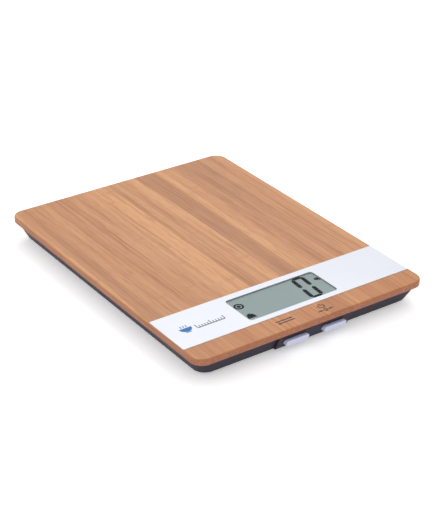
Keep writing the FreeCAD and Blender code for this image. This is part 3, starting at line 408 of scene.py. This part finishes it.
inner_plastic = moulded("inner_plastic", (0.62, 0.62, 0.58, 1), (0.68, 0.68, 0.64, 1), 0.5)
finish_with(inner_plastic, "lcd_frame")
finish_with(moulded("contact_rubber", (0.05, 0.05, 0.06, 1), (0.12, 0.12, 0.13, 1), 0.8), "contact_strip")
finish_with(moulded("board_laminate", (0.02, 0.16, 0.06, 1), (0.03, 0.22, 0.08, 1), 0.35), "circuit_board")
finish_with(moulded("chip_resin", (0.010, 0.010, 0.010, 1), (0.02, 0.02, 0.02, 1), 0.2), "chip_cover")
switch_plastic = moulded("switch_plastic", (0.02, 0.02, 0.02, 1), (0.035, 0.035, 0.035, 1), 0.5)
plunger_plastic = moulded("plunger_plastic", (0.60, 0.57, 0.48, 1), (0.68, 0.65, 0.56, 1), 0.45)
finish_with(switch_plastic, "left_switch", "right_switch")
finish_with(plunger_plastic, "left_switch_plunger", "right_switch_plunger")
plated = metal("plated_steel", (0.72, 0.70, 0.66, 1), 0.30, 1500)
zinc = metal("zinc_steel", (0.58, 0.59, 0.62, 1), 0.38, 2500)
stamped = metal("stamped_steel", (0.60, 0.60, 0.61, 1), 0.42, 900)
finish_with(plated, "coin_cell", "negative_contact", "positive_contact")
finish_with(zinc, "platform_screws", "board_screws", "sensor_screws")
finish_with(stamped, *[corner + "_load_sensor" for corner in CORNERS])
gauge_film = moulded("gauge_film", (0.62, 0.36, 0.10, 1), (0.74, 0.46, 0.16, 1), 0.25)
finish_with(gauge_film, *[corner + "_strain_gauge" for corner in CORNERS])
red_cover = moulded("red_lead_cover", (0.45, 0.02, 0.02, 1), (0.55, 0.03, 0.03, 1), 0.4)
black_cover = moulded("black_lead_cover", (0.015, 0.015, 0.015, 1), (0.03, 0.03, 0.03, 1), 0.4)
finish_with(red_cover, "right_battery_lead", *[corner + "_sensor_lead" for corner in CORNERS])
finish_with(black_cover, "left_battery_lead")

# %% [markdown]
# ## The display
# A reflective display is a sandwich of two thin glasses with a mirror film behind. It looks grey-green
# because the film and the polarisers keep a third of the light. The glass part gets that colour, with
# a soft cloud in it and a semi-gloss surface. The film lies behind a millimetre of glass, so the edge
# of the strip would shade it along the rear and the right. That soft shadow is painted into the tone as a
# darker band.

# %% Display glass


def display_film():
    material, tree, shader, where = new_material("display_film", Roughness=0.4, Specular_IOR_Level=0.2)
    cloud = noise(tree, where, 30, 2.0)
    grain = noise(tree, where, 5000, 2.0)
    tone = blend(tree, remap(tree, cloud, 0.3, 0.7), (0.252, 0.316, 0.318, 1), (0.270, 0.332, 0.334, 1))
    tone = blend(tree, remap(tree, grain, 0.35, 0.65, 0.0, 0.06), tone, (0.22, 0.28, 0.27, 1))
    apart = node(tree, "ShaderNodeSeparateXYZ", {0: where})
    shade = (0.085, 0.120, 0.118, 1)
    # Painted shadow: the tone darkens towards the window's rear and right edges, where the strip's edge
    # shades the film.
    rear_painted_shadow = remap(tree, apart.outputs["Y"], pane_high.y - 2.4 * MM, pane_high.y, 0.0, 0.75)
    right_painted_shadow = remap(tree, apart.outputs["X"], pane_high.x - 1.6 * MM, pane_high.x, 0.0, 0.5)
    tone = blend(tree, maths(tree, "MAXIMUM", rear_painted_shadow, right_painted_shadow), tone, shade)
    tree.links.new(tone, shader.inputs["Base Color"])
    return material


finish_with(display_film(), "lcd_glass")

# %% [markdown]
# The pane over the display is a clear plate with softened edges. It starts as one flat outline with
# round corners, is pulled up to its thickness and gets a small bevel round its top. Its material lets
# the view straight through and adds only what a polished surface reflects, so the display under it
# stays as bright as it is.

# %% Shape helpers


CORNER_STEPS = 6


def pull_up(bm, faces, height):
    """Give flat faces a thickness."""
    grown = bmesh.ops.extrude_face_region(bm, geom=faces)["geom"]
    top = [part for part in grown if isinstance(part, bmesh.types.BMVert)]
    bmesh.ops.translate(bm, verts=top, vec=(0, 0, height))


def raise_shape(bm, outline, low, high):
    """A flat outline, pulled up from low to high."""
    base = bm.faces.new([bm.verts.new((p.x, p.y, low)) for p in outline])
    pull_up(bm, [base], high - low)


def raise_at(bm, place, shape, low, high):
    """A flat shape in millimetres round a place, pulled up from low to high."""
    raise_shape(bm, [place + Vector((x, y, 0)) * MM for x, y in shape], low, high)


def rounded_face(bm, middle, width, depth, corner, low):
    """A flat rectangle whose four corners are rounded with a bevel."""
    before = set(bm.faces)
    ways = ((-1, -1), (1, -1), (1, 1), (-1, 1))
    places = [(middle.x + right * width / 2, middle.y + top * depth / 2, low) for right, top in ways]
    face = bm.faces.new([bm.verts.new(place) for place in places])
    bmesh.ops.bevel(
        bm,
        geom=face.verts[:],
        offset=corner,
        segments=CORNER_STEPS,
        profile=0.5,
        material=-1,
        affect="VERTICES",
    )
    return [part for part in bm.faces if part not in before]


def flat_disc(bm, middle, radius, count, low):
    """A flat disc of so many sides."""
    place = Matrix.Translation((middle.x, middle.y, low))
    ring = bmesh.ops.create_circle(bm, cap_ends=True, segments=count, radius=radius, matrix=place)
    return [ring["verts"][0].link_faces[0]]


def new_piece(name, bm, material, body="housing"):
    """Turn a bmesh into a finished piece that rides on a body."""
    bmesh.ops.remove_doubles(bm, verts=bm.verts, dist=1e-7)
    bmesh.ops.recalc_face_normals(bm, faces=bm.faces)
    mesh = bpy.data.meshes.new(name)
    bm.to_mesh(mesh)
    bm.free()
    mesh.materials.append(material)
    piece = bpy.data.objects.new(name, mesh)
    bpy.context.collection.objects.link(piece)
    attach(piece, body)
    print("made", name, "with", len(mesh.polygons), "faces")
    return piece


# %% Clear pane
PANE_LIFT = 0.12 * MM
PANE_CORNER = 2.4 * MM
PANE_BEVEL = 0.12 * MM
GLOSS_FACE_ON = 0.012
GLOSS_EDGE_ON = 0.5


def clear_acrylic():
    material, tree, gloss, where = new_material("clear_acrylic", Roughness=0.12, Specular_IOR_Level=0.5)
    smear = noise(tree, where, 35, 3.0)
    tint = blend(tree, remap(tree, smear, 0.35, 0.7), (0.02, 0.025, 0.025, 1), (0.05, 0.055, 0.055, 1))
    tree.links.new(tint, gloss.inputs["Base Color"])
    clear = node(tree, "ShaderNodeBsdfTransparent", {"Color": (0.97, 0.98, 0.98, 1)})
    facing = node(tree, "ShaderNodeLayerWeight", {"Blend": 0.5}).outputs["Facing"]
    share = remap(tree, maths(tree, "POWER", facing, 5.0), 0.0, 1.0, GLOSS_FACE_ON, GLOSS_EDGE_ON)
    mixer = node(tree, "ShaderNodeMixShader", {0: share, 1: clear.outputs[0], 2: gloss.outputs[0]})
    tree.links.new(mixer.outputs[0], tree.nodes["Material Output"].inputs["Surface"])
    return material


def clear_pane():
    size = pane_high - pane_low
    middle = Vector((window_middle.x, window_middle.y, 0))
    bm = bmesh.new()
    bottom = pane_low.z + PANE_LIFT
    pull_up(bm, rounded_face(bm, middle, size.x, size.y, PANE_CORNER, bottom), pane_high.z - bottom)
    rim = [e for e in bm.edges if all(abs(v.co.z - pane_high.z) < 1e-6 for v in e.verts)]
    bmesh.ops.bevel(
        bm, geom=rim, offset=PANE_BEVEL, segments=2, profile=0.5, material=-1, affect="EDGES"
    )
    pane = new_piece("clear_window_pane", bm, clear_acrylic())
    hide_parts("display_pane")


clear_pane()

# %% [markdown]
# ## The reading
# The segments of a display are flat shapes etched in the glass. A seven-segment nought lights six of
# them: each is a bar with mitred ends, leaning a little like the rest of the digit. Beside it are a
# ring for a steady load, a small weight for a live zero and a mark for the unit in use.

# %% Segments and marks on the display
DIGIT_HEIGHT = 27.4 * MM
DIGIT_WIDTH = 10.2 * MM
DIGIT_LEAN = 2.0 * MM
STROKE = 2.75 * MM
END_GAP = 0.12 * MM
MIDDLE_GAP = 0.75 * MM
DIGIT_PLACE = Vector((20.1, 0.12, 0)) * MM
FILM = 0.03 * MM


def bar(start, end, stroke, start_gap, end_gap):
    """A segment from start to end: a long bar with mitred ends."""
    along = (end - start).normalized()
    across = Vector((-along.y, along.x, 0)) * stroke / 2
    start = start + along * start_gap
    end = end - along * end_gap
    reach = along * stroke / 2
    near = start + reach
    far = end - reach
    return [start, near - across, far - across, end, far + across, near + across]


def arc_band(bm, middle, inner, outer, start, sweep, low, high, steps=16):
    """Part of a ring: a short edge, spun about the middle and pulled up."""
    before = set(bm.faces)
    facing = Vector((math.cos(start), math.sin(start), 0))
    ends = [bm.verts.new(middle + facing * radius + Vector((0, 0, low))) for radius in (inner, outer)]
    bmesh.ops.spin(
        bm,
        geom=[*ends, bm.edges.new(ends)],
        cent=middle,
        axis=(0, 0, 1),
        angle=sweep,
        steps=steps,
        use_merge=sweep >= math.tau,
    )
    pull_up(bm, [face for face in bm.faces if face not in before], high - low)


def nought(bm, low, high):
    """Six lit segments of a leaning seven-segment digit."""
    centre = Vector((window_middle.x, window_middle.y, 0)) + DIGIT_PLACE
    half_width = (DIGIT_WIDTH - STROKE) / 2
    half_height = (DIGIT_HEIGHT - STROKE) / 2

    def corner(right, top):
        lean = DIGIT_LEAN / 2 * top
        return centre + Vector((right * half_width + lean, top * half_height, 0))

    raise_shape(bm, bar(corner(-1, 1), corner(1, 1), STROKE, END_GAP, END_GAP), low, high)
    raise_shape(bm, bar(corner(-1, -1), corner(1, -1), STROKE, END_GAP, END_GAP), low, high)
    for right in (-1, 1):
        for top in (-1, 1):
            outline = bar(corner(right, top), corner(right, 0), STROKE, END_GAP, MIDDLE_GAP)
            raise_shape(bm, outline, low, high)


def display_marks():
    low = lcd_high.z
    high = low + FILM
    bm = bmesh.new()
    nought(bm, low, high)
    centre = Vector((window_middle.x, window_middle.y, 0))
    ring = centre + Vector((-29.6, 4.6, 0)) * MM
    arc_band(bm, ring, 2.05 * MM, 3.35 * MM, 0.0, math.tau, low, high, 32)
    pull_up(bm, flat_disc(bm, ring, 1.35 * MM, 20, low), high - low)
    weight = centre + Vector((-29.8, -8.4, 0)) * MM
    body = [(-3.3, -2.5), (3.3, -2.5), (2.2, 1.7), (-2.2, 1.7)]
    knob = [(-1.1, 1.7), (1.1, 1.7), (1.1, 2.7), (-1.1, 2.7)]
    for shape in (body, knob):
        raise_at(bm, weight, shape, low, high)
    unit = centre + Vector((31.2, 5.2, 0)) * MM
    arc_band(bm, unit, 0.3 * MM, 1.45 * MM, 0.0, math.tau, low, high, 16)
    hook = [(0.9, -2.4), (2.0, -2.4), (2.0, 1.4), (0.9, 1.4)]
    raise_at(bm, unit, hook, low, high)
    ink, tree, shader, where = new_material("segment_ink", Roughness=0.8, Specular_IOR_Level=0.1)
    mottle = noise(tree, where, 2500, 2.0)
    tone = blend(tree, mottle, (0.004, 0.006, 0.006, 1), (0.012, 0.015, 0.014, 1))
    tree.links.new(tone, shader.inputs["Base Color"])
    return new_piece("display_segments", bm, ink)


display_marks()

# %% [markdown]
# ## Printing
# Screen printing lays a thin, matt film of ink. Over the left button there are two opposed arrows, the
# usual sign for changing between units. Over the right one are the on and off sign and the sign that
# scales use for setting to nought: a 0 between two arrows. The strip carries a plain bowl beside a
# graduated line.

# %% Printed signs
INK = 0.02 * MM


def arrow(tail, tip, stroke, head):
    """A straight arrow from tail to tip, as one outline."""
    along = (tip - tail).normalized()
    across = Vector((-along.y, along.x, 0))
    neck = tip - along * head
    return [
        tail - across * stroke / 2,
        neck - across * stroke / 2,
        neck - across * head * 0.6,
        tip,
        neck + across * head * 0.6,
        neck + across * stroke / 2,
        tail + across * stroke / 2,
    ]


def printing_ink(name, dark, light):
    material, tree, shader, where = new_material(name, Roughness=0.6, Specular_IOR_Level=0.3)
    mottle = noise(tree, where, 3000, 3.0, 0.6)
    tree.links.new(blend(tree, mottle, dark, light), shader.inputs["Base Color"])
    return material


def button_signs():
    low = plate_high.z
    high = low + INK
    bm = bmesh.new()
    front = plate_low.y
    left = Vector((button_middles["left"].x - 2.6 * MM, front + 9.4 * MM, 0))
    for way in (-1, 1):
        lift = Vector((0, 1.2 * way, 0)) * MM
        reach = Vector((6.4 * way, 0, 0)) * MM
        raise_shape(bm, arrow(left + lift - reach, left + lift + reach, 0.95 * MM, 2.0 * MM), low, high)
    power = Vector((button_middles["right"].x - 3.1 * MM, front + 10.8 * MM, 0))
    gap = math.radians(38)
    arc_band(bm, power, 1.65 * MM, 2.45 * MM, math.pi / 2 + gap, math.tau - 2 * gap, low, high, 24)
    stroke = [(-0.4, 0.1), (0.4, 0.1), (0.4, 2.9), (-0.4, 2.9)]
    raise_at(bm, power, stroke, low, high)
    zero = power + Vector((0, -4.9, 0)) * MM
    plate = rounded_face(bm, zero, 2.6 * MM, 3.3 * MM, 1.0 * MM, low)
    rim = bmesh.ops.inset_region(
        bm, faces=plate, thickness=0.8 * MM, use_boundary=True, use_even_offset=True
    )
    bmesh.ops.delete(bm, geom=plate, context="FACES_ONLY")
    pull_up(bm, rim["faces"], high - low)
    for way in (-1, 1):
        tail = zero + Vector((5.8 * way, 0, 0)) * MM
        tip = zero + Vector((1.9 * way, 0, 0)) * MM
        raise_shape(bm, arrow(tail, tip, 0.85 * MM, 1.7 * MM), low, high)
    ink = printing_ink("black_print", (0.018, 0.014, 0.012, 1), (0.035, 0.026, 0.022, 1))
    new_piece("button_signs", bm, ink)


def strip_sign():
    low = panel_high.z
    high = low + INK
    middle = Vector((panel_low.x + 26.5 * MM, (panel_low.y + panel_high.y) / 2 - 0.3 * MM, 0))
    bowl = bmesh.new()
    cup = middle + Vector((-12.5, 1.2, 0)) * MM
    disc = flat_disc(bowl, cup, 4.4 * MM, 40, low)
    whole = disc + disc[0].edges[:] + disc[0].verts[:]
    bmesh.ops.bisect_plane(
        bowl, geom=whole, dist=1e-6, plane_co=(cup.x, cup.y, low), plane_no=(0, 1, 0), clear_outer=True
    )
    pull_up(bowl, bowl.faces[:], high - low)
    foot = [(-2.0, -5.3), (2.0, -5.3), (2.0, -4.6), (-2.0, -4.6)]
    raise_at(bowl, cup, foot, low, high)
    for steam in (-1.9, 0.0, 1.9):
        column = [(steam - 0.35, 0.8), (steam + 0.35, 0.8), (steam + 0.35, 2.9), (steam - 0.35, 2.9)]
        raise_at(bowl, cup, column, low, high)
    blue = printing_ink("blue_print", (0.016, 0.13, 0.36, 1), (0.024, 0.16, 0.43, 1))
    new_piece("strip_bowl_sign", bowl, blue)

    ruler = bmesh.new()
    start = middle + Vector((-5.6, -2.9, 0)) * MM
    line = [(0, -0.35), (20, -0.35), (20, 0.35), (0, 0.35)]
    raise_at(ruler, start, line, low, high)
    for tick in range(11):
        tall = 4.2 if tick % 5 == 0 else 2.4
        left, right = 2 * tick - 0.3, 2 * tick + 0.3
        mark = [(left, 0.35), (right, 0.35), (right, tall), (left, tall)]
        raise_at(ruler, start, mark, low, high)
    grey = printing_ink("grey_print", (0.045, 0.045, 0.05, 1), (0.07, 0.07, 0.075, 1))
    new_piece("strip_scale_sign", ruler, grey)


button_signs()
strip_sign()
